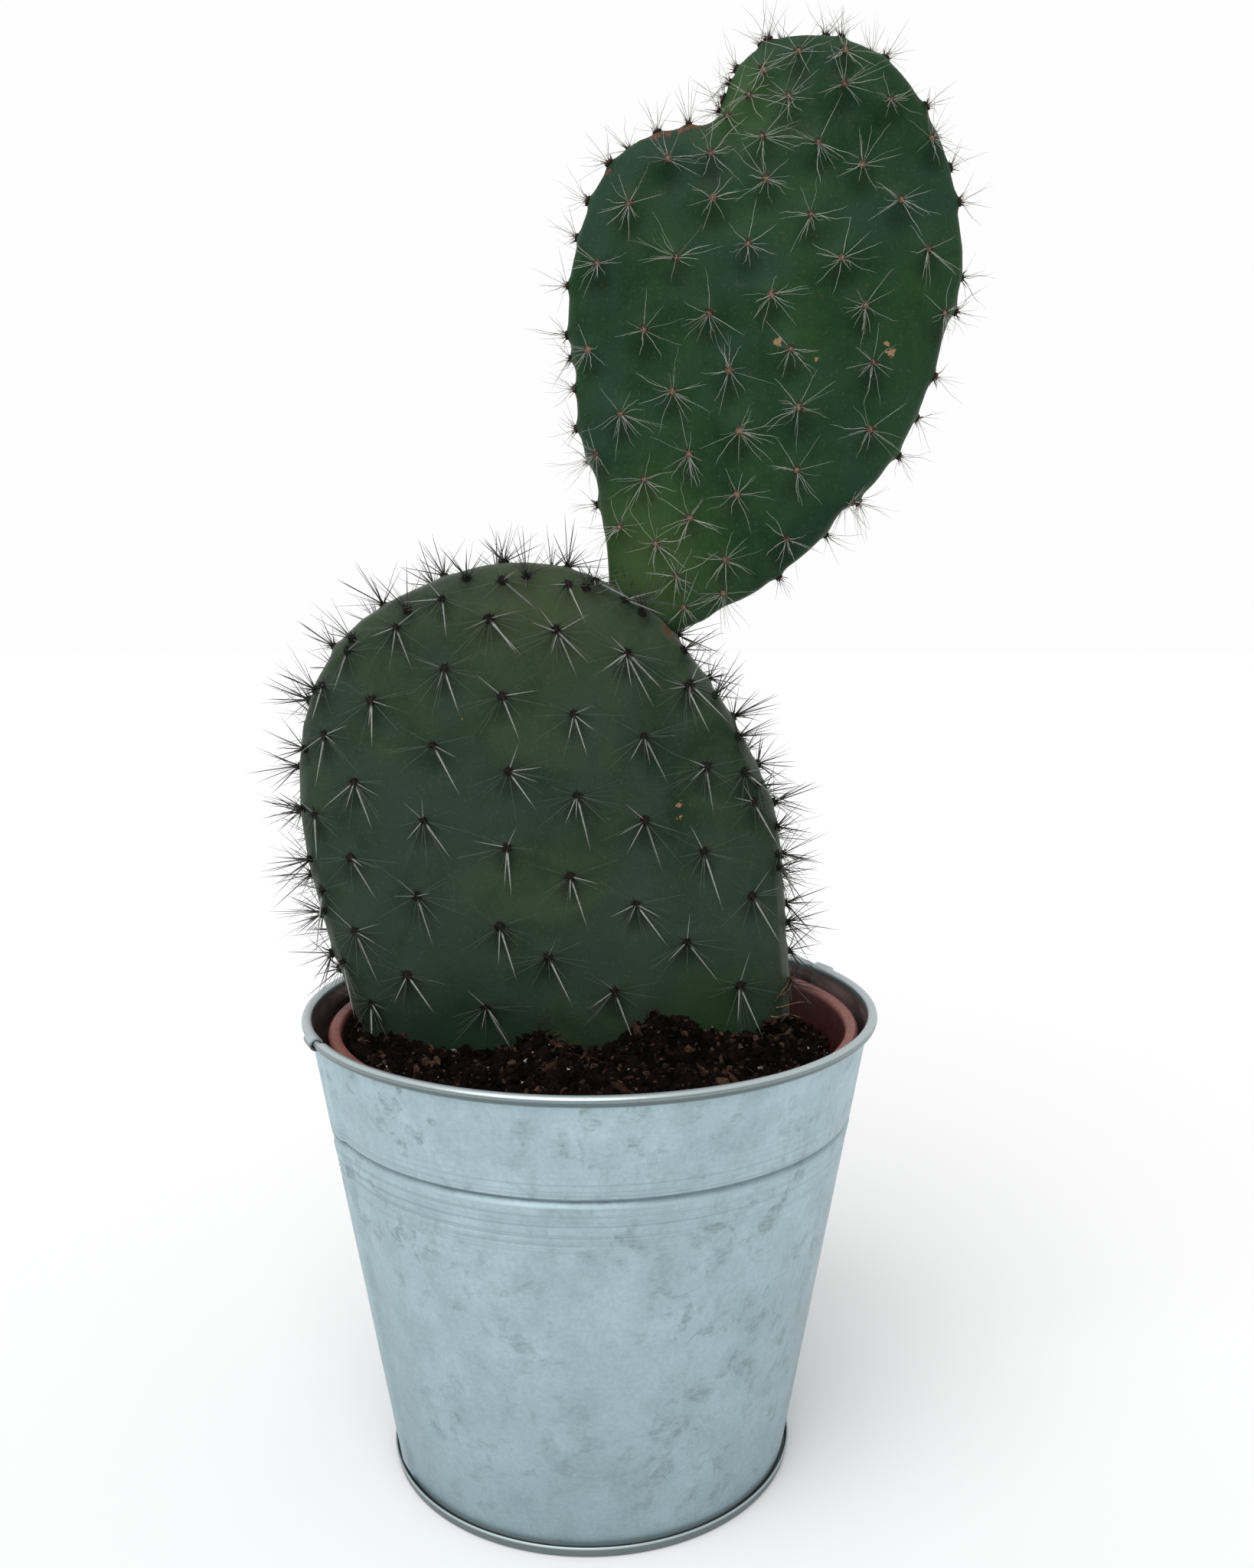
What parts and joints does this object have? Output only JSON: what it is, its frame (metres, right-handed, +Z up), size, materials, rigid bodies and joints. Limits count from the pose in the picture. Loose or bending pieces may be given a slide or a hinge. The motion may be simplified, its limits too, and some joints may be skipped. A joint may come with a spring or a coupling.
{
  "type": "potted paddle cactus",
  "caption": "Two-pad paddle cactus with spine clusters, rooted in a plastic nursery pot of soil that stands in a small tapered galvanised bucket.",
  "frame": {"origin": "on the resting surface, under the middle of the whole object's box; the bucket's axis lies to -X of it because the upper pad leans out to +X", "axes": "+Z up; the pads' broad faces look along -Y (front) and +Y (back); +X to the right as seen from the front"},
  "size_m": [0.1728, 0.1404, 0.3491],
  "materials": {
    "zinc": "hot-dip galvanised sheet, dull blue-grey with faint mottling, scratches and water marks",
    "pot_plastic": "terracotta-coloured moulded plastic, satin",
    "soil": "crumbly dark peat and bark mix with pale grit",
    "root_bark": "woody, rough",
    "old_skin": "dusky green waxy skin with a faint blue bloom and small corky spots",
    "young_skin": "fresher green waxy skin, yellower at the base and by the notch",
    "stout_spine": "pale grey spine, dark at the base",
    "young_spine": "thin pale spine from a brown tuft"
  },
  "bodies": {
    "root": {"bucket_wall_front": "zinc", "bucket_wall_back": "zinc", "bucket_base": "zinc", "nursery_pot": "pot_plastic", "potting_soil": "soil", "roots": "root_bark", "lower_pad": "old_skin", "upper_pad": "young_skin", "lower_spines_01": "stout_spine", "lower_spines_02": "stout_spine", "lower_spines_03": "stout_spine", "lower_spines_04": "stout_spine", "lower_spines_05": "stout_spine", "lower_spines_06": "stout_spine", "lower_spines_07": "stout_spine", "lower_spines_08": "stout_spine", "lower_spines_09": "stout_spine", "lower_spines_10": "stout_spine", "lower_spines_11": "stout_spine", "lower_spines_12": "stout_spine", "lower_spines_13": "stout_spine", "lower_spines_14": "stout_spine", "lower_spines_15": "stout_spine", "lower_spines_16": "stout_spine", "lower_spines_17": "stout_spine", "lower_spines_18": "stout_spine", "lower_spines_19": "stout_spine", "lower_spines_20": "stout_spine", "lower_spines_21": "stout_spine", "lower_spines_22": "stout_spine", "lower_spines_23": "stout_spine", "lower_spines_24": "stout_spine", "lower_spines_25": "stout_spine", "lower_spines_26": "stout_spine", "lower_spines_27": "stout_spine", "lower_spines_28": "stout_spine", "lower_spines_29": "stout_spine", "lower_spines_30": "stout_spine", "lower_spines_31": "stout_spine", "lower_spines_32": "stout_spine", "lower_spines_33": "stout_spine", "lower_spines_34": "stout_spine", "lower_spines_35": "stout_spine", "lower_spines_36": "stout_spine", "lower_spines_37": "stout_spine", "upper_rim_spines_01": "young_spine", "upper_rim_spines_02": "young_spine", "upper_rim_spines_03": "young_spine", "upper_rim_spines_04": "young_spine", "upper_rim_spines_05": "young_spine", "upper_rim_spines_06": "young_spine", "upper_rim_spines_07": "young_spine", "upper_rim_spines_08": "young_spine", "upper_rim_spines_09": "young_spine", "upper_rim_spines_10": "young_spine", "upper_rim_spines_11": "young_spine", "upper_rim_spines_12": "young_spine", "upper_rim_spines_13": "young_spine"}
  },
  "joints": []
}
